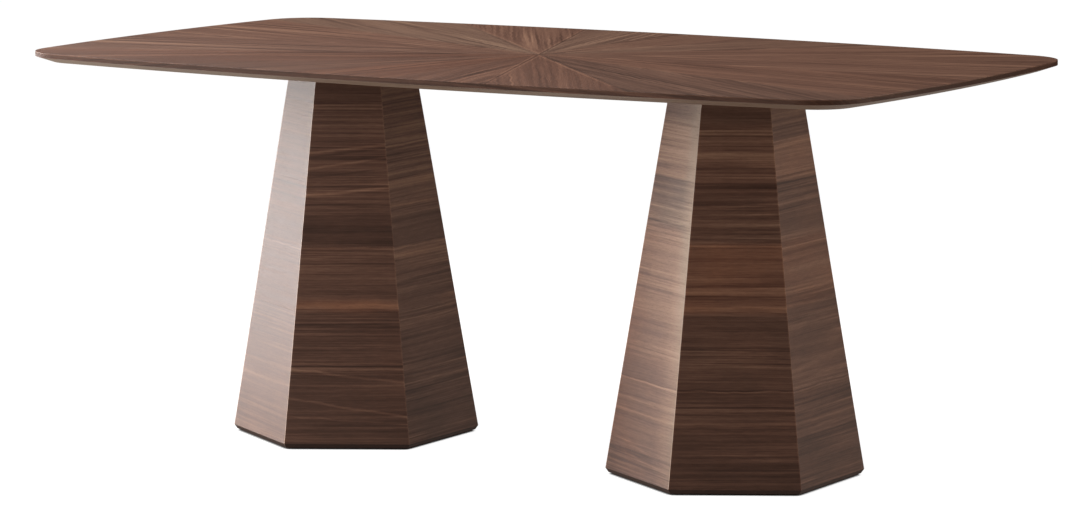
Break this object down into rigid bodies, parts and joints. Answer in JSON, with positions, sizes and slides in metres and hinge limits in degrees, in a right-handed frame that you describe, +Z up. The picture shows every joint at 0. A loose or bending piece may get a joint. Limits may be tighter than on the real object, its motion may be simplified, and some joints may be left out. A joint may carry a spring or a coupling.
{
  "type": "dining table",
  "caption": "Dining table: a bowed top with a sunburst veneer and bevelled rim on tapered hexagonal pedestals with levelling feet.",
  "frame": {"origin": "on the floor, midway between the two pedestals, under the centre of the top", "axes": "+X along the table, +Y across it towards the back, +Z up"},
  "size_m": [1.8, 1, 0.75],
  "materials": {
    "face_veneer_top": "satin lacquer over sunburst walnut veneer",
    "lipping": "satin lacquer over solid walnut",
    "backing": "matt lacquer over plain veneer",
    "board": "raw board",
    "panel": "raw board",
    "face_veneer_sides": "satin lacquer over crosswise walnut veneer",
    "tongue": "raw plywood",
    "base": "black stain",
    "former": "raw plywood",
    "neck_block": "raw plywood",
    "plate": "matt black powder coat",
    "bolt": "black zinc",
    "screw": "zinc plated",
    "insert": "plain",
    "sleeve": "zinc plated",
    "foot_pad": "black nylon",
    "foot_screw": "zinc plated"
  },
  "bodies": {
    "table": {"sunburst_veneer": "face_veneer_top", "backing_veneer": "backing", "top_core": "board", "front_lipping": "lipping", "back_lipping": "lipping", "left_lipping": "lipping", "right_lipping": "lipping", "left_panel_inner": "panel", "left_panel_outer": "panel", "left_panel_back_inner": "panel", "left_panel_back_outer": "panel", "left_panel_front_inner": "panel", "left_panel_front_outer": "panel", "left_face_veneers": "face_veneer_sides", "left_mitre_splines": "tongue", "left_base_plate": "base", "left_former": "former", "left_neck_block": "neck_block", "left_top_plate": "plate", "left_plate_bolts": "bolt", "left_block_screws": "screw", "left_top_inserts": "insert", "left_foot_sleeves": "sleeve", "right_panel_inner": "panel", "right_panel_outer": "panel", "right_panel_back_inner": "panel", "right_panel_back_outer": "panel", "right_panel_front_inner": "panel", "right_panel_front_outer": "panel", "right_face_veneers": "face_veneer_sides", "right_mitre_splines": "tongue", "right_base_plate": "base", "right_former": "former", "right_neck_block": "neck_block", "right_top_plate": "plate", "right_plate_bolts": "bolt", "right_block_screws": "screw", "right_top_inserts": "insert", "right_foot_sleeves": "sleeve"},
    "left_foot_inner_pad": {"left_foot_inner_pad": "foot_pad"},
    "left_foot_inner_screw": {"left_foot_inner_screw": "foot_screw"},
    "left_foot_outer_pad": {"left_foot_outer_pad": "foot_pad"},
    "left_foot_outer_screw": {"left_foot_outer_screw": "foot_screw"},
    "left_foot_back_pad": {"left_foot_back_pad": "foot_pad"},
    "left_foot_back_screw": {"left_foot_back_screw": "foot_screw"},
    "left_foot_front_pad": {"left_foot_front_pad": "foot_pad"},
    "left_foot_front_screw": {"left_foot_front_screw": "foot_screw"},
    "right_foot_inner_pad": {"right_foot_inner_pad": "foot_pad"},
    "right_foot_inner_screw": {"right_foot_inner_screw": "foot_screw"},
    "right_foot_outer_pad": {"right_foot_outer_pad": "foot_pad"},
    "right_foot_outer_screw": {"right_foot_outer_screw": "foot_screw"},
    "right_foot_back_pad": {"right_foot_back_pad": "foot_pad"},
    "right_foot_back_screw": {"right_foot_back_screw": "foot_screw"},
    "right_foot_front_pad": {"right_foot_front_pad": "foot_pad"},
    "right_foot_front_screw": {"right_foot_front_screw": "foot_screw"}
  },
  "joints": [
    {"name": "left_foot_inner_height", "type": "slide", "parent": "table", "child": "left_foot_inner_pad", "axis": [0, 0, -1], "range_m": [0, 0.01]},
    {"name": "left_foot_inner_turn", "type": "hinge", "parent": "left_foot_inner_pad", "child": "left_foot_inner_screw", "pos_m": [-0.257, 0, 0.02], "axis": [0, 0, -1], "range_deg": [0, 2400]},
    {"name": "left_foot_outer_height", "type": "slide", "parent": "table", "child": "left_foot_outer_pad", "axis": [0, 0, -1], "range_m": [0, 0.01]},
    {"name": "left_foot_outer_turn", "type": "hinge", "parent": "left_foot_outer_pad", "child": "left_foot_outer_screw", "pos_m": [-0.587, 0, 0.02], "axis": [0, 0, -1], "range_deg": [0, 2400]},
    {"name": "left_foot_back_height", "type": "slide", "parent": "table", "child": "left_foot_back_pad", "axis": [0, 0, -1], "range_m": [0, 0.01]},
    {"name": "left_foot_back_turn", "type": "hinge", "parent": "left_foot_back_pad", "child": "left_foot_back_screw", "pos_m": [-0.422, 0.19, 0.02], "axis": [0, 0, -1], "range_deg": [0, 2400]},
    {"name": "left_foot_front_height", "type": "slide", "parent": "table", "child": "left_foot_front_pad", "axis": [0, 0, -1], "range_m": [0, 0.01]},
    {"name": "left_foot_front_turn", "type": "hinge", "parent": "left_foot_front_pad", "child": "left_foot_front_screw", "pos_m": [-0.422, -0.19, 0.02], "axis": [0, 0, -1], "range_deg": [0, 2400]},
    {"name": "right_foot_inner_height", "type": "slide", "parent": "table", "child": "right_foot_inner_pad", "axis": [0, 0, -1], "range_m": [0, 0.01]},
    {"name": "right_foot_inner_turn", "type": "hinge", "parent": "right_foot_inner_pad", "child": "right_foot_inner_screw", "pos_m": [0.257, 0, 0.02], "axis": [0, 0, -1], "range_deg": [0, 2400]},
    {"name": "right_foot_outer_height", "type": "slide", "parent": "table", "child": "right_foot_outer_pad", "axis": [0, 0, -1], "range_m": [0, 0.01]},
    {"name": "right_foot_outer_turn", "type": "hinge", "parent": "right_foot_outer_pad", "child": "right_foot_outer_screw", "pos_m": [0.587, 0, 0.02], "axis": [0, 0, -1], "range_deg": [0, 2400]},
    {"name": "right_foot_back_height", "type": "slide", "parent": "table", "child": "right_foot_back_pad", "axis": [0, 0, -1], "range_m": [0, 0.01]},
    {"name": "right_foot_back_turn", "type": "hinge", "parent": "right_foot_back_pad", "child": "right_foot_back_screw", "pos_m": [0.422, 0.19, 0.02], "axis": [0, 0, -1], "range_deg": [0, 2400]},
    {"name": "right_foot_front_height", "type": "slide", "parent": "table", "child": "right_foot_front_pad", "axis": [0, 0, -1], "range_m": [0, 0.01]},
    {"name": "right_foot_front_turn", "type": "hinge", "parent": "right_foot_front_pad", "child": "right_foot_front_screw", "pos_m": [0.422, -0.19, 0.02], "axis": [0, 0, -1], "range_deg": [0, 2400]}
  ],
  "couplings": [
    {"joint": "left_foot_inner_turn", "follows": "left_foot_inner_height", "rad_per_m": 4188.8},
    {"joint": "left_foot_outer_turn", "follows": "left_foot_outer_height", "rad_per_m": 4188.8},
    {"joint": "left_foot_back_turn", "follows": "left_foot_back_height", "rad_per_m": 4188.8},
    {"joint": "left_foot_front_turn", "follows": "left_foot_front_height", "rad_per_m": 4188.8},
    {"joint": "right_foot_inner_turn", "follows": "right_foot_inner_height", "rad_per_m": 4188.8},
    {"joint": "right_foot_outer_turn", "follows": "right_foot_outer_height", "rad_per_m": 4188.8},
    {"joint": "right_foot_back_turn", "follows": "right_foot_back_height", "rad_per_m": 4188.8},
    {"joint": "right_foot_front_turn", "follows": "right_foot_front_height", "rad_per_m": 4188.8}
  ]
}
